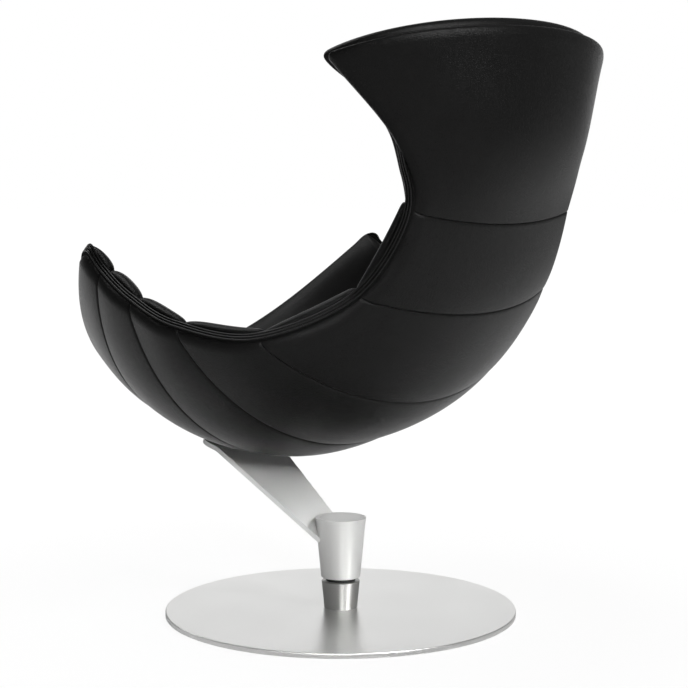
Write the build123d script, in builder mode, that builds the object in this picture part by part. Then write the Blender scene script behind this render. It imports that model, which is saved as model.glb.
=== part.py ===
from build123d import *
import os
from collections import namedtuple
from math import atan2, cos, degrees, hypot, radians, sin, sqrt, tan

# Swivel lounge chair: an upholstered bucket shell with head wings, carried by a slanted flat arm
# on a tapered swivel column and a round steel plate. Millimetres, +Z up, the sitter faces -Y,
# origin at the centre of the plate on the floor.

os.makedirs("parts", exist_ok=True)

# Base plate and floor pad
PLATE_DIAMETER = 600
PLATE_THICKNESS = 8
PLATE_EDGE_RADIUS = 1.5
PAD_THICKNESS = 2
PAD_MARGIN = 8

# Swivel column: one cone cut by the turning gap
FOOT_RADIUS = 28.3
FOOT_HEIGHT = 47
SWIVEL_GAP = 6
HEAD_HEIGHT = 103
CONE_SLOPE = 0.0975
EDGE_CHAMFER = 1.2
CAP_RADIUS = 36
CAP_THICKNESS = 6

# Spindle, bushes and thrust stack inside the column
SPINDLE_RADIUS = 12.5
SPINDLE_ROOT_RADIUS = 15
SPINDLE_ROOT_DEPTH = 38
BUSH_WALL = 3
BUSH_LENGTH = 20
UPPER_BUSH_TOP = 62
CHAMBER_RADIUS = 21
RUNNING_CLEARANCE = 0.04
SEAT_CLEARANCE = 0.02
THRUST_RADIUS = 25
WASHER_THICKNESS = 2.5
WASHER_RADIUS = 19
RING_THICKNESS = 2
RING_RADIUS = 17
RING_GROOVE_DEPTH = 1.5
RING_PLAY = 0.1
SPINDLE_END = 4

# Screws that hold the column's foot to the plate, from below
SCREW_RADIUS = 4
SCREW_HEAD_RADIUS = 7.5
SCREW_LENGTH = 26
SCREW_CIRCLE = 21.5
SCREW_COUNT = 4

# Slanted arm: a flat bar, tapered in plan, bent into a flange under the seat
ARM_THICKNESS = 8
ARM_ANGLE = 35.3
ARM_HEIGHT_AT_AXIS = 122
ARM_HALF_WIDTH_AT_AXIS = 34.5
ARM_TAPER = 0.19
ARM_BACK = -14
ARM_CORNER_RADIUS = 25
ARM_BEND_RADIUS = 30
ARM_CORE_RADIUS = 24
SLOT_CLEARANCE = 0.3
FLANGE_FROM = 1.25
FLANGE_TO = 0.8
FLANGE_LENGTH = 46
SADDLE_THICKNESS = 5
SADDLE_MARGIN = 12

# Bolts through the flange into inserts in the shell
BOLT_RADIUS = 4
BOLT_HEAD_RADIUS = 6.5
BOLT_HEAD_HEIGHT = 4.5
BOLT_WASHER_RADIUS = 8
BOLT_WASHER_THICKNESS = 1.6
BOLT_SPAN_X = 100
BOLT_SPAN_Y = 20
BOLT_MARGIN = 12
HOLE_CLEARANCE = 0.5
INSERT_RADIUS = 6.5
INSERT_RECESS = 1

# Layers of the seat, counted inwards from the outer leather
COVER_THICKNESS = 8
COVER_SWELL = 4
GLUE_GAP = 0.9
SHELL_THICKNESS = 12
ROLL_VALLEY = 14
ROLL_CROWN = 46
HEAD_CROWN = 40
ROLL_END_BULGE = 0.42
CHANNEL_GAP = 0.004
ROLL_SHARES = (0, 0.06, 0.2, 0.35, 0.5, 0.65, 0.8, 0.94, 1)

# Rim: rounded tips, and how far the shell stands past the leather's edge
ARM_TIP_RADIUS = 28
WING_TIP_RADIUS = 22
RIM_RISE = 4
WING_TUCK = 11
TUCK_FROM = 6.5
TUCK_TO = 7.4
ROLL_RISE = 2

# Sections per band in the lofts, where an ellipse is lowest, the step that finds the rim's direction
# at a tip, and the rolls' soft tips
STATIONS = 5
LOWEST_ANGLE = 270
TIP_STEP = 0.1
TIP_SOFTNESS = 3

# Cross sections of the outer leather, one per sewn seam, from the front lip up to the head's top edge.
# Each is an elliptical arc across the chair: its lowest point, its half width and its two ends (the
# rim), and the half angle that the arc covers, which sets how full it is.
Section = namedtuple("Section", "centre_y centre_z half_width rim_y rim_z half_angle")
SECTIONS = [
    Section(-425, 384, 378, -233, 630, 60),
    Section(-270, 304, 386, -184, 590, 76),
    Section(-105, 268, 393, -109, 547, 73),
    Section(44, 299, 390, -10, 510, 66),
    Section(185, 380, 348, 125, 496, 52),
    Section(288, 528, 254, 247, 561, 27),
    Section(343, 671, 216, 318, 690, 18),
    Section(407, 802, 253, 310, 796, 52),
    Section(417, 974, 350, 249, 920, 83),
]
TOP = len(SECTIONS) - 1

# Sewn bands of the upholstery, each from one section to a later one
BANDS = {
    "front": (0, 1),
    "thigh": (1, 2),
    "seat": (2, 3),
    "hip": (3, 4),
    "lumbar": (4, 5),
    "waist": (5, 6),
    "head": (6, TOP),
}


# The seat's surface
def section_at(v):
    """The cross section at v, a smooth curve through the table (Catmull-Rom)."""
    i = min(max(int(v), 0), TOP - 1)
    t = v - i

    def slope(k):
        low, high = max(k - 1, 0), min(k + 1, TOP)
        return [(b - a) / (high - low) for a, b in zip(SECTIONS[low], SECTIONS[high])]

    values = []
    for p0, p1, m0, m1 in zip(SECTIONS[i], SECTIONS[i + 1], slope(i), slope(i + 1)):
        start = (2 * t**3 - 3 * t**2 + 1) * p0 + (t**3 - 2 * t**2 + t) * m0
        values.append(start + (3 * t**2 - 2 * t**3) * p1 + (t**3 - t**2) * m1)
    return Section(*values)


def radii_at(v):
    """The two radii of the section's ellipse at v: across the chair and along its rise."""
    s = section_at(v)
    depth = hypot(s.rim_y - s.centre_y, s.rim_z - s.centre_z)
    return s.half_width / sin(radians(s.half_angle)), depth / (1 - cos(radians(s.half_angle)))


def plane_at(v):
    """The section's plane, with its origin at the centre of the ellipse, x across and y up the rise."""
    s = section_at(v)
    rise = Vector(0, s.rim_y - s.centre_y, s.rim_z - s.centre_z).normalized()
    origin = Vector(0, s.centre_y, s.centre_z) + rise * radii_at(v)[1]
    return Plane(origin=origin, x_dir=(1, 0, 0), z_dir=Vector(1, 0, 0).cross(rise))


def spot(v, depth, angle):
    """A point of the section in its own plane, at an angle from its lowest point, depth inwards."""
    across, along = radii_at(v)
    return ((across - depth) * sin(radians(angle)), -(along - depth) * cos(radians(angle)))


def end_angle(v, rise):
    """The angle at which a layer ends at v, rise past the leather's edge."""
    s = section_at(v)
    across, along = radii_at(v)
    length = hypot(across * cos(radians(s.half_angle)), along * sin(radians(s.half_angle)))
    return s.half_angle + degrees(rise / length)


def rim_pitch(v):
    """The length of the rim from one section of the table to the next, beside v."""
    i = min(max(int(v), 0), TOP - 1)
    a, b = SECTIONS[i], SECTIONS[i + 1]
    return sqrt((a.half_width - b.half_width) ** 2 + (a.rim_y - b.rim_y) ** 2 + (a.rim_z - b.rim_z) ** 2)


def tip_inset(v):
    """How far a roll's end is drawn in at v, softly rounding the arm tip or the wing tip."""
    inset = 0
    for radius, distance in (
        (ARM_TIP_RADIUS, max(v, 0) * rim_pitch(0)),
        (WING_TIP_RADIUS, max(TOP - v, 0) * rim_pitch(TOP)),
    ):
        inset += radius * max(1 - distance / (TIP_SOFTNESS * radius), 0) ** 2
    return inset


def rim_rise(v):
    """How far the shell's edge stands past the leather: proud along the arms, tucked in at the wings."""
    t = min(max((v - TUCK_FROM) / (TUCK_TO - TUCK_FROM), 0), 1)
    return RIM_RISE - (RIM_RISE + WING_TUCK) * t * t * (3 - 2 * t)


def swell(share, power):
    """A rounded crown from 0 at both ends of a band to 1 in its middle (a superellipse)."""
    return (1 - abs(2 * share - 1) ** power) ** (1 / power)


def stations(start, stop):
    """Evenly spaced section places from start to stop."""
    count = round((stop - start) * STATIONS)
    return [start + (stop - start) * k / count for k in range(count + 1)]


def tip_cutter(v, rise, radius):
    """What rounding takes off a layer's two corners at v, its end section, as a private part."""
    beside = v + TIP_STEP if v < TOP / 2 else v - TIP_STEP
    corner = plane_at(v).from_local_coords(Vector(*spot(v, 0, end_angle(v, rise))))
    inward = plane_at(v).from_local_coords(Vector(*spot(v, 0, end_angle(v, rise - radius)))) - corner
    along = plane_at(beside).from_local_coords(Vector(*spot(beside, 0, end_angle(beside, rise)))) - corner
    turn = atan2(inward.cross(along).length, inward.dot(along))
    reach = radius / tan(turn / 2)
    margin = radius / 4
    with BuildPart(mode=Mode.PRIVATE) as cutter:
        with BuildSketch(Plane(origin=corner, x_dir=inward, z_dir=inward.cross(along))):
            Polygon(
                (reach, 0),
                (reach, -margin),
                (-margin * (1 + cos(turn)) / sin(turn), -margin),
                (reach * cos(turn) - margin * sin(turn), reach * sin(turn) + margin * cos(turn)),
                (reach * cos(turn), reach * sin(turn)),
                (reach, radius),
                align=None,
            )
            with Locations((reach, radius)):
                Circle(radius, mode=Mode.SUBTRACT)
        extrude(amount=2 * radius, both=True)
        mirror(about=Plane.YZ)
    return cutter.part


def band_face(v, outer, inner, rise, bulge=0):
    """One section of a layer: arcs from its middle to both sides, closed at the rim by lines or bulges."""
    across, along = radii_at(v)
    angle = end_angle(v, rise)
    with BuildSketch(plane_at(v)) as face:
        with BuildLine():
            for depth in (outer, inner):
                for start in (LOWEST_ANGLE - angle, LOWEST_ANGLE):
                    EllipticalCenterArc((0, 0), across - depth, along - depth, start, arc_size=angle)
            for side in (-1, 1):
                low, high = Vector(*spot(v, outer, side * angle)), Vector(*spot(v, inner, side * angle))
                if bulge:
                    middle = Vector(*spot(v, (outer + inner) / 2, side * angle))
                    out = Vector(low.Y - high.Y, high.X - low.X).normalized() * side * -bulge
                    ThreePointArc(low, middle + out, high)
                else:
                    Line(low, high)
        make_face()
    return face.sketch


# Layer depths, from the outer leather inwards
SHELL_OUTER = COVER_THICKNESS + GLUE_GAP
SHELL_INNER = SHELL_OUTER + SHELL_THICKNESS
ROLL_BACK = SHELL_INNER + GLUE_GAP

# Heights of the base, from the floor up
PLATE_TOP = PAD_THICKNESS + PLATE_THICKNESS
FOOT_TOP = PLATE_TOP + FOOT_HEIGHT
HEAD_BASE = FOOT_TOP + SWIVEL_GAP
HEAD_TOP = HEAD_BASE + HEAD_HEIGHT
SHOULDER = HEAD_BASE + UPPER_BUSH_TOP
BUSH_RADIUS = SPINDLE_RADIUS + BUSH_WALL


def cone_radius(z):
    """The column's radius at height z."""
    return FOOT_RADIUS + CONE_SLOPE * (z - PLATE_TOP)


# Felt pad under the plate
with BuildPart() as floor_pad:
    with BuildSketch():
        Circle(PLATE_DIAMETER / 2 - PAD_MARGIN)
    extrude(amount=PAD_THICKNESS)

# Round steel plate, with countersunk holes from below
with BuildPart() as base_plate:
    with BuildSketch(Plane.XY.offset(PAD_THICKNESS)):
        Circle(PLATE_DIAMETER / 2)
    extrude(amount=PLATE_THICKNESS)
    fillet(base_plate.edges().filter_by(GeomType.CIRCLE).sort_by(Axis.Z)[-1:], PLATE_EDGE_RADIUS)
    with BuildSketch(Plane.XY.offset(PAD_THICKNESS)):
        with PolarLocations(SCREW_CIRCLE, SCREW_COUNT):
            Circle(SCREW_RADIUS + HOLE_CLEARANCE)
    extrude(amount=PLATE_THICKNESS, mode=Mode.SUBTRACT)
    chamfer(
        base_plate.edges().filter_by(GeomType.CIRCLE).group_by(Axis.Z)[0].group_by(SortBy.RADIUS)[0],
        SCREW_HEAD_RADIUS - SCREW_RADIUS,
    )

# Countersunk screws, flush with the plate's underside
with BuildPart() as base_screws:
    head_depth = SCREW_HEAD_RADIUS - SCREW_RADIUS
    shank_low = PAD_THICKNESS + head_depth
    with BuildSketch(Plane.XY.offset(PAD_THICKNESS)):
        with PolarLocations(SCREW_CIRCLE, SCREW_COUNT):
            Circle(SCREW_HEAD_RADIUS)
    extrude(amount=head_depth, taper=45)
    with BuildSketch(Plane.XY.offset(shank_low)):
        with PolarLocations(SCREW_CIRCLE, SCREW_COUNT):
            Circle(SCREW_RADIUS)
    extrude(amount=SCREW_LENGTH - head_depth)

# Lower part of the column: tapped for the screws, bored for the spindle
with BuildPart() as lower_column:
    with BuildSketch(Plane.XZ):
        with BuildLine():
            Polyline(
                (0, PLATE_TOP),
                (FOOT_RADIUS, PLATE_TOP),
                (cone_radius(FOOT_TOP - EDGE_CHAMFER), FOOT_TOP - EDGE_CHAMFER),
                (cone_radius(FOOT_TOP) - EDGE_CHAMFER, FOOT_TOP),
                (0, FOOT_TOP),
                close=True,
            )
        make_face()
    revolve(axis=Axis.Z)
    with Locations((0, 0, FOOT_TOP)):
        Hole(SPINDLE_ROOT_RADIUS + SEAT_CLEARANCE, SPINDLE_ROOT_DEPTH)
    with BuildSketch(Plane.XY.offset(PLATE_TOP)):
        with PolarLocations(SCREW_CIRCLE, SCREW_COUNT):
            Circle(SCREW_RADIUS + SEAT_CLEARANCE)
    extrude(amount=SCREW_LENGTH + PAD_THICKNESS - PLATE_TOP + HOLE_CLEARANCE, mode=Mode.SUBTRACT)

# Spindle: pressed into the foot, with a groove for the retaining ring near its top
RING_BASE = SHOULDER + WASHER_THICKNESS + RING_PLAY
RING_TOP = RING_BASE + RING_THICKNESS
SPINDLE_TOP = RING_TOP + SPINDLE_END
with BuildPart() as spindle:
    with BuildSketch(Plane.XZ):
        with BuildLine():
            Polyline(
                (0, FOOT_TOP - SPINDLE_ROOT_DEPTH),
                (SPINDLE_ROOT_RADIUS, FOOT_TOP - SPINDLE_ROOT_DEPTH),
                (SPINDLE_ROOT_RADIUS, FOOT_TOP),
                (SPINDLE_RADIUS, FOOT_TOP),
                (SPINDLE_RADIUS, RING_BASE),
                (SPINDLE_RADIUS - RING_GROOVE_DEPTH, RING_BASE),
                (SPINDLE_RADIUS - RING_GROOVE_DEPTH, RING_TOP),
                (SPINDLE_RADIUS, RING_TOP),
                (SPINDLE_RADIUS, SPINDLE_TOP),
                (0, SPINDLE_TOP),
                close=True,
            )
        make_face()
    revolve(axis=Axis.Z)
    chamfer(spindle.edges().group_by(Axis.Z)[-1], EDGE_CHAMFER)


def ring(base, inner, outer, height):
    """A flat ring about the column's axis, as a private part."""
    with BuildPart(mode=Mode.PRIVATE) as flat_ring:
        with BuildSketch(Plane.XY.offset(base)):
            Circle(outer)
            Circle(inner, mode=Mode.SUBTRACT)
        extrude(amount=height)
    return flat_ring.part


# Thrust stack in the turning gap: two steel washers with a plastic ring between them
THRUST_LAYER = SWIVEL_GAP / 3
THRUST_BORE = SPINDLE_RADIUS + RUNNING_CLEARANCE
with BuildPart() as thrust_washer_lower:
    add(ring(FOOT_TOP, THRUST_BORE, THRUST_RADIUS, THRUST_LAYER))
with BuildPart() as thrust_ring:
    add(ring(FOOT_TOP + THRUST_LAYER, THRUST_BORE, THRUST_RADIUS, THRUST_LAYER))
with BuildPart() as thrust_washer_upper:
    add(ring(FOOT_TOP + 2 * THRUST_LAYER, THRUST_BORE, THRUST_RADIUS, THRUST_LAYER))

# Plain bushes in the column's head
with BuildPart() as lower_bush:
    add(ring(HEAD_BASE, THRUST_BORE, BUSH_RADIUS, BUSH_LENGTH))
with BuildPart() as upper_bush:
    add(ring(SHOULDER - BUSH_LENGTH, THRUST_BORE, BUSH_RADIUS, BUSH_LENGTH))

# Washer and retaining ring that hold the head on the spindle
with BuildPart() as retaining_washer:
    add(ring(SHOULDER, THRUST_BORE, WASHER_RADIUS, WASHER_THICKNESS))
with BuildPart() as retaining_ring:
    add(ring(RING_BASE, SPINDLE_RADIUS - RING_GROOVE_DEPTH + SEAT_CLEARANCE, RING_RADIUS, RING_THICKNESS))

# The flange's plane: along the shell's underside at the front, below the saddle pad
def underside(v):
    """A point on the shell's centre line at v."""
    s = section_at(v)
    return Vector(0, s.centre_y, s.centre_z)


flange_along = (underside(FLANGE_TO) - underside(FLANGE_FROM)).normalized()
flange_up = Vector(1, 0, 0).cross(flange_along) * -1
flange_drop = COVER_SWELL + GLUE_GAP + SADDLE_THICKNESS
flange_level = underside(FLANGE_FROM) - flange_up * flange_drop

# The arm from the side: a slanted run up to the bend, where it meets that plane, then the flange
arm_along = Vector(0, -cos(radians(ARM_ANGLE)), sin(radians(ARM_ANGLE)))
arm_up = Vector(0, sin(radians(ARM_ANGLE)), cos(radians(ARM_ANGLE)))
arm_root = Vector(0, 0, ARM_HEIGHT_AT_AXIS)
arm_run = (flange_level - arm_root).dot(flange_up) / arm_along.dot(flange_up)
arm_bend = arm_root + arm_along * arm_run
arm_start = arm_root + arm_along * (ARM_BACK / -cos(radians(ARM_ANGLE)))
arm_half_turn = atan2(arm_along.cross(flange_along).length, arm_along.dot(flange_along)) / 2
bend_below = (arm_up + flange_up).normalized() * -ARM_THICKNESS / cos(arm_half_turn)
flange_front = arm_bend + flange_along * FLANGE_LENGTH
flange_middle = flange_front - flange_along * (BOLT_SPAN_Y / 2 + BOLT_MARGIN)
flange_plane = Plane(origin=flange_middle, x_dir=(1, 0, 0), z_dir=flange_up)

# Where the four bolts cross the flange's top face
bolt_spots = []
for x in (-BOLT_SPAN_X / 2, BOLT_SPAN_X / 2):
    for y in (-BOLT_SPAN_Y / 2, BOLT_SPAN_Y / 2):
        bolt_spots.append(flange_plane.from_local_coords(Vector(x, y, 0)))


def across_flange(point, height):
    """A plane across the flange's bolts, at a height over its top face."""
    return Plane(origin=point + flange_up * height, x_dir=(1, 0, 0), z_dir=flange_up)


def arm_half_width(y):
    """Half the bar's width at y."""
    return ARM_HALF_WIDTH_AT_AXIS - ARM_TAPER * y


def arm_bar(clearance):
    """The bent bar, enlarged by a clearance all round, as a private part."""
    ends = [
        arm_start,
        arm_bend,
        flange_front,
        flange_front - flange_up * ARM_THICKNESS,
        arm_bend + bend_below,
        arm_start - arm_up * ARM_THICKNESS,
    ]
    front, back = flange_front.Y - ARM_THICKNESS, ARM_BACK + ARM_THICKNESS
    with BuildPart(mode=Mode.PRIVATE) as bar:
        with BuildSketch(Plane.YZ) as side:
            with BuildLine():
                Polyline([(p.Y, p.Z) for p in ends], close=True)
            make_face()
            for corner, radius in (
                (arm_bend, ARM_BEND_RADIUS + ARM_THICKNESS),
                (arm_bend + bend_below, ARM_BEND_RADIUS),
            ):
                fillet(side.vertices().sort_by_distance((corner.Y, corner.Z))[0], radius)
            if clearance:
                offset(amount=clearance, kind=Kind.INTERSECTION)
        extrude(amount=2 * arm_half_width(front), both=True)
        with BuildSketch():
            with BuildLine():
                Polyline(
                    (-arm_half_width(front) - clearance, front),
                    (arm_half_width(front) + clearance, front),
                    (arm_half_width(back) + clearance, back),
                    (-arm_half_width(back) - clearance, back),
                    close=True,
                )
            make_face()
        extrude(amount=flange_front.Z + ARM_THICKNESS, mode=Mode.INTERSECT)
    return bar.part


# Upper part of the column: bushed bore, chamber for the retaining ring, recess for the cap
with BuildPart() as upper_column:
    with BuildSketch(Plane.XZ):
        with BuildLine():
            Polyline(
                (0, HEAD_BASE),
                (cone_radius(HEAD_BASE) - EDGE_CHAMFER, HEAD_BASE),
                (cone_radius(HEAD_BASE + EDGE_CHAMFER), HEAD_BASE + EDGE_CHAMFER),
                (cone_radius(HEAD_TOP), HEAD_TOP),
                (0, HEAD_TOP),
                close=True,
            )
        make_face()
    revolve(axis=Axis.Z)
    with Locations((0, 0, HEAD_TOP)):
        CounterBoreHole(BUSH_RADIUS + SEAT_CLEARANCE, CHAMBER_RADIUS, HEAD_TOP - SHOULDER)
        Hole(CAP_RADIUS + SEAT_CLEARANCE, CAP_THICKNESS)
    with BuildPart(mode=Mode.PRIVATE) as arm_slot:
        add(arm_bar(SLOT_CLEARANCE))
        Cylinder(ARM_CORE_RADIUS, HEAD_TOP, align=(Align.CENTER, Align.CENTER, Align.MIN), mode=Mode.SUBTRACT)
    add(arm_slot.part, mode=Mode.SUBTRACT)

# Flat cap pressed into the column's top
with BuildPart() as column_cap:
    with BuildSketch(Plane.XY.offset(HEAD_TOP - CAP_THICKNESS)):
        Circle(CAP_RADIUS)
    extrude(amount=CAP_THICKNESS)

# Slanted arm: hollowed round the column's core, drilled in its flange
with BuildPart() as support_arm:
    add(arm_bar(0))
    Cylinder(
        ARM_CORE_RADIUS + SLOT_CLEARANCE,
        HEAD_TOP,
        align=(Align.CENTER, Align.CENTER, Align.MIN),
        mode=Mode.SUBTRACT,
    )
    short_edges = support_arm.edges().filter_by(lambda edge: edge.length < 2 * ARM_THICKNESS)
    fillet(short_edges.sort_by_distance(flange_front)[:2], ARM_CORNER_RADIUS)
    with BuildSketch(flange_plane):
        with GridLocations(BOLT_SPAN_X, BOLT_SPAN_Y, 2, 2):
            Circle(BOLT_RADIUS + HOLE_CLEARANCE)
    extrude(amount=-2 * ARM_THICKNESS, mode=Mode.SUBTRACT)

# Moulded shell that carries the upholstery, drilled for the inserts
with BuildPart() as seat_shell:
    for start, stop in BANDS.values():
        loft([band_face(v, SHELL_OUTER, SHELL_INNER, rim_rise(v)) for v in stations(start, stop)])
    for v, radius in ((0, ARM_TIP_RADIUS), (TOP, WING_TIP_RADIUS)):
        add(tip_cutter(v, rim_rise(v), radius), mode=Mode.SUBTRACT)
    shell_walls = []
    for point in bolt_spots:
        hits = seat_shell.part.find_intersection_points(Axis(point, flange_up))
        heights = [(hit - point).dot(flange_up) for hit, _ in hits]
        shell_walls.append((min(heights), min(h for h in heights if h > min(heights) + SHELL_THICKNESS / 2)))
    for point, (near, far) in zip(bolt_spots, shell_walls):
        with BuildSketch(across_flange(point, near - SHELL_THICKNESS)):
            Circle(INSERT_RADIUS + SEAT_CLEARANCE)
        extrude(amount=far - near + 2 * SHELL_THICKNESS, mode=Mode.SUBTRACT)

# Threaded inserts in the shell, and the bolts and washers under the flange
with BuildPart() as shell_inserts:
    for point, (near, far) in zip(bolt_spots, shell_walls):
        with BuildSketch(across_flange(point, near + INSERT_RECESS)):
            Circle(INSERT_RADIUS)
            Circle(BOLT_RADIUS + SEAT_CLEARANCE, mode=Mode.SUBTRACT)
        extrude(amount=far - near - 2 * INSERT_RECESS)

with BuildPart() as seat_bolt_washers:
    for point in bolt_spots:
        with BuildSketch(across_flange(point, -ARM_THICKNESS - BOLT_WASHER_THICKNESS)):
            Circle(BOLT_WASHER_RADIUS)
            Circle(BOLT_RADIUS + HOLE_CLEARANCE, mode=Mode.SUBTRACT)
        extrude(amount=BOLT_WASHER_THICKNESS)

with BuildPart() as seat_bolts:
    seat = -ARM_THICKNESS - BOLT_WASHER_THICKNESS
    for point, (near, far) in zip(bolt_spots, shell_walls):
        with BuildSketch(across_flange(point, seat - BOLT_HEAD_HEIGHT)):
            Circle(BOLT_HEAD_RADIUS)
        extrude(amount=BOLT_HEAD_HEIGHT)
        with BuildSketch(across_flange(point, seat)):
            Circle(BOLT_RADIUS)
        extrude(amount=far - 2 * INSERT_RECESS - seat)

# Rubber saddle between the flat flange and the curved leather
with BuildPart() as saddle_pad:
    saddle_width = 2 * (arm_half_width(flange_plane.origin.Y) - SADDLE_MARGIN)
    with BuildSketch(flange_plane):
        RectangleRounded(saddle_width, BOLT_SPAN_Y + 2 * BOLT_MARGIN, SADDLE_MARGIN)
        with GridLocations(BOLT_SPAN_X, BOLT_SPAN_Y, 2, 2):
            Circle(BOLT_RADIUS + HOLE_CLEARANCE, mode=Mode.SUBTRACT)
    extrude(amount=flange_drop + COVER_THICKNESS)
    with BuildPart(mode=Mode.PRIVATE) as leather_room:
        clear = COVER_SWELL + GLUE_GAP
        loft([band_face(v, -clear, SHELL_INNER, 0) for v in stations(0, 2)])
    add(leather_room.part, mode=Mode.SUBTRACT)

# Outer leather on thin foam, one panel per band, swelling a little between its seams
covers = {}
for name, (start, stop) in BANDS.items():
    with BuildPart() as cover:
        faces = []
        for v in stations(start, stop):
            bulge = COVER_SWELL * swell((v - start) / (stop - start), 2)
            faces.append(band_face(v, -bulge, COVER_THICKNESS, 0))
        loft(faces)
        if start == 0:
            add(tip_cutter(start, 0, ARM_TIP_RADIUS), mode=Mode.SUBTRACT)
        if stop == TOP:
            add(tip_cutter(stop, 0, WING_TIP_RADIUS), mode=Mode.SUBTRACT)
        if start < FLANGE_FROM:
            with BuildSketch(flange_plane):
                with GridLocations(BOLT_SPAN_X, BOLT_SPAN_Y, 2, 2):
                    Circle(BOLT_RADIUS + HOLE_CLEARANCE)
            extrude(amount=4 * SHELL_THICKNESS, mode=Mode.SUBTRACT)
    covers["cover_" + name] = cover

# Seat pad: stuffed rolls across the chair, one per band, and one long pad for the head
rolls = {}
for name, (start, stop) in BANDS.items():
    crown, power, places = ROLL_CROWN, 2, [start + (stop - start) * share for share in ROLL_SHARES]
    if stop == TOP:
        crown, power, places = HEAD_CROWN, 4, stations(start, stop)
    with BuildPart() as roll:
        faces = []
        for v in places:
            share = (v - start) / (stop - start)
            v += CHANNEL_GAP * (1 - 2 * share)
            thickness = ROLL_VALLEY + (crown - ROLL_VALLEY) * swell(share, power)
            rise = rim_rise(v) + ROLL_RISE - tip_inset(v)
            faces.append(band_face(v, ROLL_BACK, ROLL_BACK + thickness, rise, ROLL_END_BULGE * thickness))
        loft(faces)
    rolls[("pad_" if stop == TOP else "roll_") + name] = roll

# Write the pieces
pieces = {
    "floor_pad": floor_pad,
    "base_plate": base_plate,
    "base_screws": base_screws,
    "lower_column": lower_column,
    "spindle": spindle,
    "thrust_washer_lower": thrust_washer_lower,
    "thrust_ring": thrust_ring,
    "thrust_washer_upper": thrust_washer_upper,
    "lower_bush": lower_bush,
    "upper_bush": upper_bush,
    "retaining_washer": retaining_washer,
    "retaining_ring": retaining_ring,
    "upper_column": upper_column,
    "column_cap": column_cap,
    "support_arm": support_arm,
    "saddle_pad": saddle_pad,
    "seat_bolts": seat_bolts,
    "seat_bolt_washers": seat_bolt_washers,
    "shell_inserts": shell_inserts,
    "seat_shell": seat_shell,
    **covers,
    **rolls,
}
for name, piece in pieces.items():
    piece.part.label = name
    export_step(piece.part, "parts/" + name + ".step")
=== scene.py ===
import bpy
import numpy as np
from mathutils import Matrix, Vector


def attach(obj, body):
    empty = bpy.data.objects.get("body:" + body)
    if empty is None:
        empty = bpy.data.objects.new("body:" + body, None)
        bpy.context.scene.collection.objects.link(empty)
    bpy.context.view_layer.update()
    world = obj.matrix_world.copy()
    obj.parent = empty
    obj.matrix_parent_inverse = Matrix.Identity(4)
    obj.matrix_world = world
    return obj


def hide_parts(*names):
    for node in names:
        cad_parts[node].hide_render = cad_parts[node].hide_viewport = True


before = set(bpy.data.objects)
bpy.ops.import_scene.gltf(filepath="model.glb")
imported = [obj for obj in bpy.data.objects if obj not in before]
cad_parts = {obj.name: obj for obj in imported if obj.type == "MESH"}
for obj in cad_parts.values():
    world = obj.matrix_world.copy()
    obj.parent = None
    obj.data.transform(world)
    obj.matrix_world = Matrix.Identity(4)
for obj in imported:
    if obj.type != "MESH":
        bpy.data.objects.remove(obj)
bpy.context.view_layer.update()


# Base plate
# A round disc cut from steel sheet, its top edge broken by a small radius and its faces brushed to a
# satin in fine rings. The column is screwed to it from below.
class Wire:
    """A shader socket that takes part in Python sums: every operator adds its Math node."""

    # The Mix node's sockets for colours stand behind those for numbers and vectors.
    COLOUR_A, COLOUR_B, COLOUR_OUT = 6, 7, 2

    def __init__(self, tree, socket):
        self.tree = tree
        self.socket = socket

    def node(self, kind, settings, sockets, out=0):
        """A new node: its settings first, then each socket's value or link. Returns one output."""
        made = self.tree.nodes.new(kind)
        for key, value in settings.items():
            setattr(made, key, value)
        for key, value in sockets.items():
            if isinstance(value, Wire):
                self.tree.links.new(value.socket, made.inputs[key])
            else:
                made.inputs[key].default_value = value
        return Wire(self.tree, made.outputs[out])

    def math(self, operation, first, second=0.0, clamp=False):
        settings = {"operation": operation, "use_clamp": clamp}
        return self.node("ShaderNodeMath", settings, {0: first, 1: second})

    def __add__(self, other):
        return self.math("ADD", self, other)

    def __radd__(self, other):
        return self.math("ADD", other, self)

    def __sub__(self, other):
        return self.math("SUBTRACT", self, other)

    def __rsub__(self, other):
        return self.math("SUBTRACT", other, self)

    def __mul__(self, other):
        return self.math("MULTIPLY", self, other)

    def __rmul__(self, other):
        return self.math("MULTIPLY", other, self)

    def __truediv__(self, other):
        return self.math("DIVIDE", self, other)

    def __pow__(self, other):
        return self.math("POWER", self, other)

    def held(self):
        """The value held between 0 and 1."""
        return self.math("ADD", self, 0.0, clamp=True)

    def part(self, axis):
        """One coordinate of a vector: 0, 1 or 2."""
        return self.node("ShaderNodeSeparateXYZ", {}, {0: self}, out=axis)

    def between(self, dark, light):
        """A colour from dark to light as the value goes from 0 to 1."""
        sockets = {0: self, self.COLOUR_A: (*dark, 1), self.COLOUR_B: (*light, 1)}
        return self.node("ShaderNodeMix", {"data_type": "RGBA"}, sockets, out=self.COLOUR_OUT)

    def into(self, shader, socket):
        self.tree.links.new(self.socket, shader.inputs[socket])


def new_finish(name):
    """A material with its shader, and a wire that carries the piece's own coordinates."""
    finish = bpy.data.materials.new(name)
    finish.use_nodes = True
    tree = finish.node_tree
    coordinates = tree.nodes.new("ShaderNodeTexCoord")
    return finish, tree.nodes["Principled BSDF"], Wire(tree, coordinates.outputs["Object"])


STREAKS, CLOUDS = 1400, 9.0
TONE_SPREAD, WARMTH = 0.04, 0.012


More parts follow.
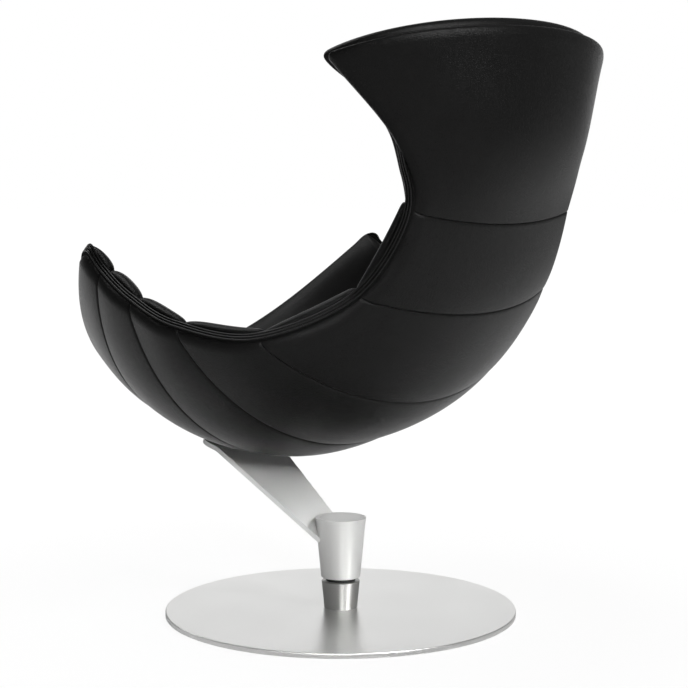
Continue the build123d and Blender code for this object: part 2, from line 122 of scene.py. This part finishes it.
def satin_steel(name, across, pale, polish, gloss):
    """Brushed steel: streaks of noise along one line, across(place), over slow clouds of tone."""
    finish, shader, place = new_finish(name)
    line = across(place)
    streak = line.node(
        "ShaderNodeTexNoise", {"noise_dimensions": "1D"}, {"W": line * STREAKS, "Detail": 3.0}
    )
    cloud = place.node("ShaderNodeTexNoise", {}, {"Vector": place, "Scale": CLOUDS, "Detail": 2.0})
    shader.inputs["Metallic"].default_value = polish
    tone = (0.5 * streak + 0.5 * cloud).held()
    dark, light = pale - TONE_SPREAD, pale + TONE_SPREAD
    colour = tone.between((dark, dark, dark - WARMTH), (light, light, light - WARMTH))
    colour.into(shader, "Base Color")
    (gloss + 0.08 * streak + 0.06 * cloud).into(shader, "Roughness")
    brushed = place.node("ShaderNodeBump", {}, {"Strength": 0.06, "Distance": 0.0003, "Height": streak})
    brushed.into(shader, "Normal")
    return finish


def give(node, finish):
    """Puts a finish on a CAD piece."""
    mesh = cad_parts[node].data
    mesh.materials.clear()
    mesh.materials.append(finish)


def from_axis(place):
    """The distance from the swivel axis, in words: the root of x squared plus y squared."""
    return (place.part(0) * place.part(0) + place.part(1) * place.part(1)) ** 0.5


give("base_plate", satin_steel("plate_steel", from_axis, pale=0.9, polish=1.0, gloss=0.26))


# Floor pad and fasteners
# Dense dark felt glued under the plate, four countersunk screws that hold the column's foot, and the zinc
# plated fasteners and spindle inside the column and under the seat. Little of them can be seen.
def felt(name):
    """Pressed wool: one fine noise for both tone and nap."""
    finish, shader, place = new_finish(name)
    nap = place.node("ShaderNodeTexNoise", {}, {"Vector": place, "Scale": 900.0, "Detail": 4.0})
    nap.between((0.02, 0.02, 0.02), (0.06, 0.06, 0.062)).into(shader, "Base Color")
    (0.85 + 0.1 * nap).into(shader, "Roughness")
    raised = place.node("ShaderNodeBump", {}, {"Strength": 0.5, "Distance": 0.001, "Height": nap})
    raised.into(shader, "Normal")
    return finish


def zinc(name):
    """Plated fastener steel: pale grey with a fine crystal mottle."""
    finish, shader, place = new_finish(name)
    mottle = place.node("ShaderNodeTexVoronoi", {}, {"Vector": place, "Scale": 700.0})
    mottle.between((0.38, 0.38, 0.39), (0.52, 0.52, 0.53)).into(shader, "Base Color")
    shader.inputs["Metallic"].default_value = 1.0
    (0.36 + 0.12 * mottle).into(shader, "Roughness")
    return finish


give("floor_pad", felt("pad_felt"))
fastener_zinc = zinc("fastener_zinc")
COLUMN_FASTENERS = ("base_screws", "spindle", "retaining_washer", "retaining_ring")
SEAT_FASTENERS = ("seat_bolts", "seat_bolt_washers", "shell_inserts")
for fastener in COLUMN_FASTENERS + SEAT_FASTENERS:
    give(fastener, fastener_zinc)


# Column
# Two turned steel cones on one taper, parted by the dark turning gap. The lower one is screwed to the
# plate, the upper one turns on a spindle inside, and a flat cap closes its top.
def upwards(place):
    """The height over the floor, so that the streaks run round the column as a lathe leaves them."""
    return place.part(2)


give("upper_column", satin_steel("turned_steel", upwards, pale=0.81, polish=0.55, gloss=0.4))
# The lower cone is the same steel as the upper one, given a darker colour: painted shade.
give("lower_column", satin_steel("foot_steel_painted_shade", upwards, pale=0.5, polish=0.88, gloss=0.3))
give("column_cap", satin_steel("cap_steel", from_axis, pale=0.7, polish=1.0, gloss=0.32))


# Turning gap
# Black bearing rings stacked between the two cones, set back from the steel so that the gap reads as a
# dark line. The bushes inside the column are of the same plastic.
def bearing_plastic(name):
    """Moulded black plastic: near black, with a faint waviness in its gloss."""
    finish, shader, place = new_finish(name)
    wave = place.node("ShaderNodeTexNoise", {}, {"Vector": place, "Scale": 160.0, "Detail": 2.0})
    wave.between((0.008, 0.008, 0.008), (0.016, 0.016, 0.016)).into(shader, "Base Color")
    (0.42 + 0.16 * wave).into(shader, "Roughness")
    return finish


gap_black = bearing_plastic("gap_black")
for ring in ("thrust_washer_lower", "thrust_ring", "thrust_washer_upper", "lower_bush", "upper_bush"):
    give(ring, gap_black)


# Slanted arm and its saddle
# A flat steel bar, wider towards the seat, welded into the upper cone and bent flat under the shell. A
# rubber saddle lies between its flange and the leather.
def sideways(place):
    """The distance across the chair, so that the streaks run along the bar."""
    return place.part(0)


# The bar is the same satin steel, set paler and less metallic than the column: partly a satin finish,
# partly painted light.
give("support_arm", satin_steel("arm_steel_painted_light", sideways, pale=0.94, polish=0.15, gloss=0.45))


def rubber(name):
    """Soft black rubber with a dusty, uneven dullness."""
    finish, shader, place = new_finish(name)
    dust = place.node("ShaderNodeTexNoise", {}, {"Vector": place, "Scale": 60.0, "Detail": 5.0})
    dust.between((0.015, 0.015, 0.015), (0.03, 0.03, 0.03)).into(shader, "Base Color")
    (0.66 + 0.2 * dust).into(shader, "Roughness")
    return finish


give("saddle_pad", rubber("saddle_rubber"))


# Moulded shell
# The hidden hard bucket that carries the upholstery. Only slits of it can be seen between the leather
# layers, so it is plain black fibre moulding.
give("seat_shell", bearing_plastic("shell_moulding"))


# Outer leather panels
# Seven panels of black leather on thin foam, sewn edge to edge across the chair and pulled over the
# shell. Each is pulled in at its seams and rolls in at the rim, where the trim meets its edge.
MM = 0.001
# One row per seam, front lip to top edge: the arc's lowest point (y, z), its half width, its ends
# (y, z) at the rim, in millimetres, and the half angle that the arc covers, in degrees.
SEAMS = np.array(
    [
        (-425, 384, 378, -233, 630, 60),
        (-270, 304, 386, -184, 590, 76),
        (-105, 268, 393, -109, 547, 73),
        (44, 299, 390, -10, 510, 66),
        (185, 380, 348, 125, 496, 52),
        (288, 528, 254, 247, 561, 27),
        (343, 671, 216, 318, 690, 18),
        (407, 802, 253, 310, 796, 52),
        (417, 974, 350, 249, 920, 83),
    ],
    float,
)
SEAMS = SEAMS * np.array([MM, MM, MM, MM, MM, np.pi / 180])
TOP = len(SEAMS) - 1
BANDS = {
    "front": (0, 1),
    "thigh": (1, 2),
    "seat": (2, 3),
    "hip": (3, 4),
    "lumbar": (4, 5),
    "waist": (5, 6),
    "head": (6, TOP),
}
ARM_TIP, WING_TIP = 28 * MM, 14 * MM
TIP_PITCH = np.linalg.norm(np.diff(SEAMS[:, 2:5], axis=0), axis=1)[[0, -1]]


def seat_section(v):
    """The seat's cross section at v: a Catmull-Rom curve through the seam table, column by column."""
    v = np.asarray(v, float)
    i = np.clip(np.floor(v).astype(int), 0, TOP - 1)
    t = (v - i)[..., None]
    slope = np.gradient(SEAMS, axis=0)
    start = (2 * t**3 - 3 * t**2 + 1) * SEAMS[i] + (t**3 - 2 * t**2 + t) * slope[i]
    return np.moveaxis(start + (3 * t**2 - 2 * t**3) * SEAMS[i + 1] + (t**3 - t**2) * slope[i + 1], -1, 0)


def seat_radii(v):
    """The radii of the section's ellipse: half width over sine, and rise over one less cosine."""
    centre_y, centre_z, half_width, rim_y, rim_z, half_angle = seat_section(v)
    rise = np.hypot(rim_y - centre_y, rim_z - centre_z)
    return half_width / np.sin(half_angle), rise / (1 - np.cos(half_angle))


def seat_point(v, angle, depth):
    """A point of the seat: the ellipse at v, shrunk by depth, at an angle from its lowest point."""
    centre_y, centre_z, half_width, rim_y, rim_z, half_angle = seat_section(v)
    across, along = seat_radii(v)
    rise = np.hypot(rim_y - centre_y, rim_z - centre_z)
    height = (along - (along - depth) * np.cos(angle)) / rise
    x = (across - depth) * np.sin(angle)
    return np.stack([x, centre_y + (rim_y - centre_y) * height, centre_z + (rim_z - centre_z) * height], -1)


def rim_angle(v, rise):
    """The angle at which a layer ends, rise past the leather's edge along the arc."""
    half_angle = seat_section(v)[5]
    across, along = seat_radii(v)
    return half_angle + rise / np.hypot(across * np.cos(half_angle), along * np.sin(half_angle))


def round_off(distance, radius):
    """A quarter circle's height, from 0 at the edge to 1 at a radius from it and beyond."""
    return np.sqrt(1 - (1 - np.clip(distance / radius, 0, 1)) ** 2)


def tip_inset(v):
    """How far the rim is drawn in at v by the round arm tip and wing tip, a quarter circle each."""
    arm = ARM_TIP * (1 - round_off(np.maximum(v, 0) * TIP_PITCH[0], ARM_TIP))
    return arm + WING_TIP * (1 - round_off(np.maximum(TOP - v, 0) * TIP_PITCH[1], WING_TIP))


def skin(name, rows, finish, grain, ring=False):
    """A closed mesh over rows of points, each row a closed loop; flat ends, or joined to a ring."""
    count, around = rows.shape[:2]
    index = np.arange(count * around).reshape(count, around)
    if ring:
        index = np.vstack([index, index[:1]])
    ahead = np.roll(index, -1, axis=1)
    faces = np.stack([index[:-1], ahead[:-1], ahead[1:], index[1:]], -1).reshape(-1, 4).tolist()
    if not ring:
        faces += [index[0, ::-1].tolist(), index[-1].tolist()]
    mesh = bpy.data.meshes.new(name)
    mesh.from_pydata(rows.reshape(-1, 3).tolist(), [], faces)
    corners = np.empty(len(mesh.loops), np.int32)
    mesh.loops.foreach_get("vertex_index", corners)
    layer = mesh.uv_layers.new(name="grain")
    layer.data.foreach_set("uv", grain.reshape(-1, 2)[corners].astype(np.float32).ravel())
    mesh.polygons.foreach_set("use_smooth", np.ones(len(mesh.polygons), bool))
    mesh.materials.append(finish)
    mesh.update()
    piece = bpy.data.objects.new(name, mesh)
    bpy.context.scene.collection.objects.link(piece)
    return piece


CELLS, PORES, WAVES = 400.0, 420.0, 16.0
CREASE_GAIN, ROUGHER = 3.2, 0.10
BLACK, NEAR_BLACK = (0.004, 0.004, 0.004), (0.009, 0.009, 0.0088)
PUCKERS_ALONG, PUCKERS_IN, PUCKER_FADE = 70, 12, 45
PUCKER_HEIGHT, GRAIN_HEIGHT = 0.004, 0.0014


def leather(name, shine, roughness, grain, pucker):
    """Black leather: pebbles from cells, creases at their edges, slow waves, and puckers at the seams."""
    finish, shader, place = new_finish(name)
    shader.inputs["Specular IOR Level"].default_value = shine
    seam = place.node("ShaderNodeUVMap", {"uv_map": "grain"}, {})
    from_seam = seam.part(1)
    crease = place.node(
        "ShaderNodeTexVoronoi", {"feature": "DISTANCE_TO_EDGE"}, {"Vector": place, "Scale": CELLS}
    )
    pebble = (crease * CREASE_GAIN).held()
    pores = place.node("ShaderNodeTexNoise", {}, {"Vector": place, "Scale": PORES, "Detail": 2.0})
    wave = place.node("ShaderNodeTexNoise", {}, {"Vector": place, "Scale": WAVES, "Detail": 3.0})
    tone = (0.7 * pebble + 0.3 * wave).held()
    tone.between(BLACK, NEAR_BLACK).into(shader, "Base Color")
    (roughness + ROUGHER * (1 - pebble) + ROUGHER * (wave - 0.5)).into(shader, "Roughness")
    stretched = place.node(
        "ShaderNodeCombineXYZ", {}, {0: seam.part(0) * PUCKERS_ALONG, 1: from_seam * PUCKERS_IN}
    )
    pull = place.node("ShaderNodeTexNoise", {}, {"Vector": stretched, "Scale": 1.0, "Detail": 2.0})
    near_seam = (1 - from_seam * PUCKER_FADE).held()
    drawn = pull * near_seam * near_seam + 0.12 * wave
    puckered = place.node(
        "ShaderNodeBump", {}, {"Strength": pucker, "Distance": PUCKER_HEIGHT, "Height": drawn}
    )
    height = 0.3 * pebble + 0.7 * pores
    grained = place.node(
        "ShaderNodeBump",
        {},
        {"Strength": grain, "Distance": GRAIN_HEIGHT, "Height": height, "Normal": puckered},
    )
    grained.into(shader, "Normal")
    return finish


cover_leather = leather("cover_leather", shine=0.12, roughness=0.27, grain=0.42, pucker=0.2)
COVER_BACK = 7.8 * MM
SEAM_DEPTH, SEAM_ROUND = 2.8 * MM, 5 * MM
EDGE_DEPTH, EDGE_ROUND = 2.5 * MM, 5 * MM
RIM_DEPTH, RIM_ROLL, FRONT_DEPTH = 8 * MM, 22 * MM, 3 * MM
TOP_DEPTH, TOP_ROLL = 5 * MM, 18 * MM
COVER_CROWN, CROWN_EDGE = 3 * MM, 40 * MM
LEAST_LEATHER = 0.5 * MM
PANEL_ROWS, HEAD_ROWS, PANEL_COLUMNS = 49, 81, 161


def eased(count):
    """A column of numbers from 0 to 1, half of one less a cosine, so closer together at both ends."""
    return (0.5 - 0.5 * np.cos(np.linspace(0, np.pi, count)))[:, None]


def cover_panel(name, low, high):
    """A panel: the seat's surface with a slow crown, rounded down at its seams and rolled in at the rim."""
    share = eased(PANEL_ROWS if high - low == 1 else HEAD_ROWS)
    along = np.sin(np.linspace(-1, 1, PANEL_COLUMNS) * np.pi / 2)[None, :]
    v = low + (high - low) * share
    angle = along * rim_angle(v, -tip_inset(v))
    flat = seat_point(v, angle, 0)
    width = np.linalg.norm(np.diff(flat, axis=0), axis=2).sum(0)[None, :]
    run = np.linalg.norm(np.diff(flat, axis=1), axis=2).sum(1)[:, None] / 2
    to_seams = [share * width, (1 - share) * width]
    rims = [((1 - abs(along)) * run, RIM_DEPTH, RIM_ROLL)]
    if low == 0:
        rims.append((to_seams.pop(0), FRONT_DEPTH, RIM_ROLL))
    if high == TOP:
        rims.append((to_seams.pop(-1), TOP_DEPTH, TOP_ROLL))
    to_seam = np.minimum.reduce(to_seams)
    to_rim = np.minimum.reduce([distance for distance, deep, reach in rims])
    rolled = np.maximum.reduce(
        [deep * np.clip(1 - distance / reach, 0, 1) ** 2 for distance, deep, reach in rims]
    )
    seam = SEAM_DEPTH * (1 - round_off(to_seam, SEAM_ROUND)) * round_off(to_rim, RIM_ROLL)
    crown = COVER_CROWN * 4 * share * (1 - share) * round_off(to_rim, CROWN_EDGE)
    depth = rolled + seam - crown
    depth = depth + EDGE_DEPTH * (1 - round_off(to_rim, EDGE_ROUND))
    outer = seat_point(v, angle, depth)
    inner = seat_point(v, angle, np.maximum(COVER_BACK, depth + LEAST_LEATHER))[:, ::-1]
    reach = np.concatenate([along * run, (along * run)[:, ::-1]], axis=1)
    edge = np.minimum(to_seam, to_rim)
    grain = np.stack([reach, np.concatenate([edge, edge[:, ::-1]], axis=1)], -1)
    return skin(name, np.concatenate([outer, inner], axis=1), cover_leather, grain)


for band, (low, high) in BANDS.items():
    panel = cover_panel("panel_" + band, low, high)
    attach(panel, "seat")
    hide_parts("cover_" + band)

# Stuffed rolls and head pad
# Six tight leather rolls lie across the seat and back, with one long pad up the head. They are stuffed
# between sewn channels, so each swells to a round crown and dips to a sharp valley at its neighbours.
roll_leather = leather("roll_leather", shine=0.14, roughness=0.31, grain=0.4, pucker=0.05)
ROLL_BACK = 21.8 * MM
ROLL_VALLEY, ROLL_CROWN, FRONT_CROWN, HEAD_CROWN = 20 * MM, 46 * MM, 40 * MM, 40 * MM
RISE_AT, ROLL_RISE = (0, 1, 4), (-4 * MM, 4.5 * MM, 9 * MM)
VALLEY_DIP, START_DIP, ROLL_BULGE = 3 * MM, 8 * MM, 0.5
WING_TUCK, TUCK, RELEASE = 15 * MM, (6.5, 7.4), (7.6, 8.0)
PAD_OVERHANG, PAD_RISE, PAD_RISE_FROM = 0.085, 8 * MM, 7.4
END_TAPER, TAPER_GROWTH, MOST_TAPER, END_SHEAR = 0.32, 0.055, 0.6, 0.35
NOSE_TAPER, NOSE_END = 0.55, 1.4
ROLL_TIP, PAD_TIP = 5 * MM, 14 * MM
ROLL_POWER, FRONT_POWER, HEAD_POWER = 2, 2.5, 4
TAPER_POWER, ARC_TO_LENGTH = 6, 0.4
ROLL_ROWS, ROLL_COLUMNS, CAP_COLUMNS = 57, 121, 21


def slow_step(v, start, stop):
    """A smooth step from 0 at start to 1 at stop."""
    t = np.clip((v - start) / (stop - start), 0, 1)
    return t * t * (3 - 2 * t)


def tuck(v):
    """How far the rim's trim draws back at v, from none along the arms to all at the wings."""
    return WING_TUCK * slow_step(v, *TUCK)


def roll_tip(v):
    """How far a roll's end is drawn in at v by the arm tip, or by the pad's own tip over the wing."""
    arm = ROLL_TIP * (1 - round_off(np.maximum(v, 0) * TIP_PITCH[0], ROLL_TIP))
    return arm + PAD_TIP * (1 - round_off((TOP + PAD_OVERHANG - v) * TIP_PITCH[1], PAD_TIP))


def stuffed_roll(name, low, high, crown, power):
    """A roll: a superellipse across its channel, carried along the arc, thinner at its rounded ends.

    The head pad's top edge is round and rises by one less the square of the share of the arc.
    """
    share = eased(ROLL_ROWS)
    v = low + (high - low) * share
    swell = (1 - abs(2 * share - 1) ** power) ** (1 / power)
    thick = ROLL_VALLEY + (crown - ROLL_VALLEY) * swell
    back = ROLL_BACK + 0 * v
    if high > TOP:
        back = back + ROLL_VALLEY * (1 - round_off((high - v) * TIP_PITCH[1], ROLL_VALLEY))
        thick = thick + ROLL_BACK - back
    dip = VALLEY_DIP * (1 - swell) + START_DIP * (1 - share) ** 3 * np.minimum(low, 1)
    drawn_in = tuck(v) * (1 - slow_step(v, *RELEASE)) + roll_tip(v)
    end = np.interp(v, RISE_AT, ROLL_RISE) - dip - drawn_in
    taper = np.minimum(END_TAPER + TAPER_GROWTH * v, MOST_TAPER)
    taper = taper + NOSE_TAPER * np.clip(1 - v / NOSE_END, 0, 1) ** 2
    end_thick = thick * (1 - taper)
    straight = np.linspace(-1, 1, ROLL_COLUMNS)[None, 1:-1]
    turn = np.linspace(90, -90, CAP_COLUMNS)[None, :] * np.pi / 180
    into = end_thick / 2 * (1 + np.sin(turn))
    cap = rim_angle(v, end + ROLL_BULGE * end_thick * np.cos(turn) - END_SHEAR * into)
    crown_level = straight * rim_angle(v, end - END_SHEAR * end_thick)
    back_level = straight[:, ::-1] * rim_angle(v, end)
    crown_depth = back + thick * (1 - taper * straight**TAPER_POWER)
    cap_depth = back + into
    angle = np.concatenate([crown_level, cap, back_level, -cap[:, ::-1]], axis=1)
    depth = np.concatenate([crown_depth, cap_depth, back + 0 * back_level, cap_depth[:, ::-1]], axis=1)
    rows = seat_point(v, angle, depth)
    if high > TOP:
        middle = np.clip(1 - (angle / rim_angle(v, 0)) ** 2, 0, 1)
        rows[..., 2] += PAD_RISE * slow_step(v, PAD_RISE_FROM, high) * middle
    width = np.linalg.norm(np.diff(rows, axis=0), axis=2).sum(0)[None, :]
    edge = np.minimum(share, 1 - share) * width
    return skin(name, rows, roll_leather, np.stack([angle * ARC_TO_LENGTH, edge], -1))


for band, (low, high) in BANDS.items():
    if high == TOP:
        roll = stuffed_roll("pad_of_head", low, high + PAD_OVERHANG, HEAD_CROWN, HEAD_POWER)
        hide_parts("pad_head")
    elif low == 0:
        roll = stuffed_roll("roll_of_front", low, high, FRONT_CROWN, FRONT_POWER)
        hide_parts("roll_front")
    else:
        roll = stuffed_roll("roll_of_" + band, low, high, ROLL_CROWN, ROLL_POWER)
        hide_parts("roll_" + band)
    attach(roll, "seat")

# Rim trim
# A matt leather tape covers the shell's edge all round, and three thin welts, cords wrapped in leather,
# are sewn side by side along it between the outer panels and the rolls. At the wings they tuck in.
trim_leather = leather("trim_leather", shine=0.26, roughness=0.16, grain=0.05, pucker=0.05)
tape_leather = leather("tape_leather", shine=0.02, roughness=0.6, grain=0.1, pucker=0.05)
FRONT_RUN, CORNER_RUN, SIDE_RUN, TOP_RUN = 70, 22, 320, 70
# Depth inside the leather and lift past its edge, in millimetres: each welt's centre with its radius, and
# the tape's outline, first its outer face and then the face on the shell.
WELTS = {"outer": (9.4, 5.2, 1.7), "middle": (13.2, 8.0, 1.7), "inner": (17.0, 10.4, 1.7)}
WELT_SIDES = 12
TAPE_OUTSIDE = [(8.0, -6), (8.0, 2), (8.7, 4.4), (17.0, 9.2), (21.5, 5.5), (21.5, -6)]
TAPE_INSIDE = [(21.05, -6), (21.05, 4.2), (8.75, 4.2), (8.75, -6)]
TOP_TUCK, TRIM_TUCK = 17 * MM, 1.3
NUDGE = 0.01
FROM_PUCKERS = 0.03


def rim_stops():
    """Half the rim as three lists: section, share of the arc, and turn from sideways to forwards."""
    corner = np.linspace(90, 0, CORNER_RUN) * np.pi / 180
    arm_v = ARM_TIP / TIP_PITCH[0] * (1 - np.sin(corner))
    wing_v = TOP - WING_TIP / TIP_PITCH[1] * (1 - np.sin(corner[::-1]))
    side_v = np.linspace(arm_v[-1], wing_v[0], SIDE_RUN)
    front, top = np.linspace(0, 1, FRONT_RUN), np.linspace(1, 0, TOP_RUN)
    v = np.concatenate([0 * front[:-1], arm_v, side_v[1:-1], wing_v, TOP + 0 * top[1:]])
    share = np.concatenate([front[:-1], 1 + 0 * arm_v, 1 + 0 * side_v[1:-1], 1 + 0 * wing_v, top[1:]])
    turn = np.concatenate(
        [np.pi / 2 + 0 * front[:-1], corner, 0 * side_v[1:-1], -corner[::-1], -np.pi / 2 + 0 * top[1:]]
    )
    return v, share, turn


def rim_line(depth, lift):
    """The closed rim, front centre round by both sides: depth inside the leather, lift past its edge."""
    v, share, turn = rim_stops()
    wing_drop = TRIM_TUCK * WING_TUCK
    drop = np.where(turn < 0, TOP_TUCK + (wing_drop - TOP_TUCK) * np.cos(turn), TRIM_TUCK * tuck(v))
    lift = lift - drop
    angle = rim_angle(v, lift * np.cos(turn) - tip_inset(v)) * share
    step = seat_point(v - NUDGE, angle, depth) - seat_point(v + NUDGE, angle, depth)
    forward = step / np.linalg.norm(step, axis=1, keepdims=True)
    half = seat_point(v, angle, depth) + forward * (lift * np.sin(turn))[:, None]
    other = (half * np.array([-1, 1, 1]))[::-1]
    return np.concatenate([half, other[1:-1]])


def rim_piece(name, outline, finish):
    """A trim: an outline of depth and lift carried round the whole rim."""
    rows = np.stack([rim_line(depth, lift) for depth, lift in outline], 1)
    step = np.linalg.norm(np.roll(rows[:, :1], -1, axis=0) - rows[:, :1], axis=2)
    reach = np.cumsum(step, axis=0) + np.zeros(rows.shape[:2])
    piece = skin(name, rows, finish, np.stack([reach, FROM_PUCKERS + 0 * reach], -1), ring=True)
    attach(piece, "seat")


tape_outline = [(depth * MM, lift * MM) for depth, lift in TAPE_OUTSIDE + TAPE_INSIDE]
rim_piece("rim_tape", tape_outline, tape_leather)
for place, (depth, lift, radius) in WELTS.items():
    turns = np.linspace(0, 2 * np.pi, WELT_SIDES + 1)[:-1]
    circle = [((depth + radius * np.cos(a)) * MM, (lift + radius * np.sin(a)) * MM) for a in turns]
    rim_piece("welt_" + place, circle, trim_leather)

# Floor
# A plain white sweep. Camera, mirrored and transmitted rays see it white, and a little of its real shading
# is left for the chair's shadow; near the chair the camera sees its glow lowered, a painted shade.
# Mirrored, it fades to its real shading near the chair and is painted darker before the camera and to its
# right: a painted reflection.
FLOOR_SIZE = 60.0
FLOOR_GLOW = 1.03
SHADOW, SHADOW_FROM, SHADOW_RUN = 0.09, 0.5, 0.8
MIRROR_FROM = 0.25
TO_CAMERA = (0.776, 0.63)
PAINTED_NEAR_SHADE, NEAR_FROM, NEAR_RUN = 0.65, -0.2, 0.6
PAINTED_RIGHT_SHADE, RIGHT_FROM, RIGHT_RUN = 0.55, 0.5, 0.7
floor_mesh = bpy.data.meshes.new("floor")
corner = FLOOR_SIZE / 2
floor_corners = [(-corner, -corner, 0), (corner, -corner, 0), (corner, corner, 0), (-corner, corner, 0)]
floor_mesh.from_pydata(floor_corners, [], [(0, 1, 2, 3)])
floor = bpy.data.objects.new("floor", floor_mesh)
bpy.context.scene.collection.objects.link(floor)
floor_white, floor_shader, floor_place = new_finish("floor_white")
floor_shader.inputs["Base Color"].default_value = (0.9, 0.9, 0.9, 1)
floor_shader.inputs["Roughness"].default_value = 0.9
floor_shader.inputs["Specular IOR Level"].default_value = 0.0
floor_white.cycles.emission_sampling = "NONE"


def rays(wire):
    """Two wires from Light Path: 1 for a camera ray, and 1 for a ray that gloss or glass sends out."""
    camera, glossy, through = [
        wire.node("ShaderNodeLightPath", {}, {}, out=name)
        for name in ("Is Camera Ray", "Is Glossy Ray", "Is Transmission Ray")
    ]
    return camera, (glossy + through).held()


seen, mirrored = rays(floor_place)
glow = floor_place.node("ShaderNodeEmission", {}, {"Color": (1, 1, 1, 1), "Strength": FLOOR_GLOW})
shaded = Wire(floor_white.node_tree, floor_shader.outputs[0])
far = from_axis(floor_place)
# Near the chair its glow is lowered for the camera: a painted shade, with the real shading showing through.
white = (1 - SHADOW) + SHADOW * ((far - SHADOW_FROM) / SHADOW_RUN).held()
near = TO_CAMERA[0] * floor_place.part(0) + TO_CAMERA[1] * floor_place.part(1)
right = TO_CAMERA[0] * floor_place.part(1) - TO_CAMERA[1] * floor_place.part(0)
# Before the camera and to its right the mirrored glow is painted darker, whatever light falls there: a
# painted reflection.
painted_near_shade = PAINTED_NEAR_SHADE * ((near - NEAR_FROM) / NEAR_RUN).held()
painted_right_shade = PAINTED_RIGHT_SHADE * ((right - RIGHT_FROM) / RIGHT_RUN).held()
painted_floor_reflection = (far - MIRROR_FROM).held() * (1 - (painted_near_shade + painted_right_shade).held())
share = seen * white + mirrored * painted_floor_reflection
mixed = floor_place.node("ShaderNodeMixShader", {}, {0: share, 1: shaded, 2: glow})
mixed.into(floor_white.node_tree.nodes["Material Output"], "Surface")
floor_mesh.materials.append(floor_white)

# Light
# A dark room with a white backdrop beyond the chair, which mirrored rays see too; mirrored rays also see
# the room brighter than the light it gives, a painted reflection. A key lamp stands high behind the chair,
# a wide box hangs over its front, and a small gridded lamp lights the arm and the column.
world = bpy.data.worlds.new("studio")
bpy.context.scene.world = world
world.use_nodes = True
sky = world.node_tree
background = sky.nodes["Background"]
VIEW = np.array([-0.7727, -0.6277, -0.0945])
BACKDROP_FROM, BACKDROP_RUN = 0.84, 0.1
# The middle number is extra room brightness that only mirrored rays see: a painted reflection.
ROOM, PAINTED_ROOM_REFLECTION, MIRRORED_BACKDROP = 0.05, 0.12, 1.08
heading = Wire(sky, sky.nodes.new("ShaderNodeTexCoord").outputs["Generated"])
facing = heading.node(
    "ShaderNodeVectorMath", {"operation": "DOT_PRODUCT"}, {0: heading, 1: tuple(VIEW)}, out=1
)
seen, mirrored = rays(heading)
backdrop = ((facing - BACKDROP_FROM) / BACKDROP_RUN).held()
room = ROOM + mirrored * (PAINTED_ROOM_REFLECTION + MIRRORED_BACKDROP * backdrop)
background.inputs["Color"].default_value = (1, 1, 1, 1)
(seen + (1 - seen) * room).into(background, "Strength")


def soft_box(name, place, aim, size, power, spread=180):
    """An area lamp at a place, turned to a point; a small spread is a grid before the lamp."""
    lamp = bpy.data.lights.new(name, "AREA")
    lamp.shape = "RECTANGLE"
    lamp.size, lamp.size_y = size
    lamp.energy = power
    lamp.spread = spread * np.pi / 180
    box = bpy.data.objects.new(name, lamp)
    box.location = place
    turn = Vector(aim) - Vector(place)
    box.rotation_mode = "QUATERNION"
    box.rotation_quaternion = turn.to_track_quat("-Z", "Y")
    bpy.context.scene.collection.objects.link(box)


soft_box("key_box", place=(0, 3.3, 2.5), aim=(0, 0, 0.6), size=(0.6, 1.3), power=90)
soft_box("top_box", place=(0.4, -1.1, 2.9), aim=(0.2, -0.2, 0.5), size=(1.2, 1.8), power=32)
soft_box("arm_box", place=(2.1, 2.4, 1.3), aim=(0.02, -0.1, 0.2), size=(0.6, 0.6), power=0.95, spread=20)

# Camera
# Stands behind the chair to its left, at about shoulder height of a sitter, with a long lens.
LENS_MM, SENSOR_MM = 91.1, 36
CAMERA_PLACE = (2.2776, 1.8575, 0.7426)
lens = bpy.data.cameras.new("camera")
lens.lens = LENS_MM
lens.sensor_width = SENSOR_MM
camera = bpy.data.objects.new("camera", lens)
camera.location = CAMERA_PLACE
camera.rotation_mode = "QUATERNION"
camera.rotation_quaternion = Vector(VIEW).to_track_quat("-Z", "Y")
bpy.context.scene.collection.objects.link(camera)
bpy.context.scene.camera = camera
bpy.context.scene.view_settings.view_transform = "Standard"
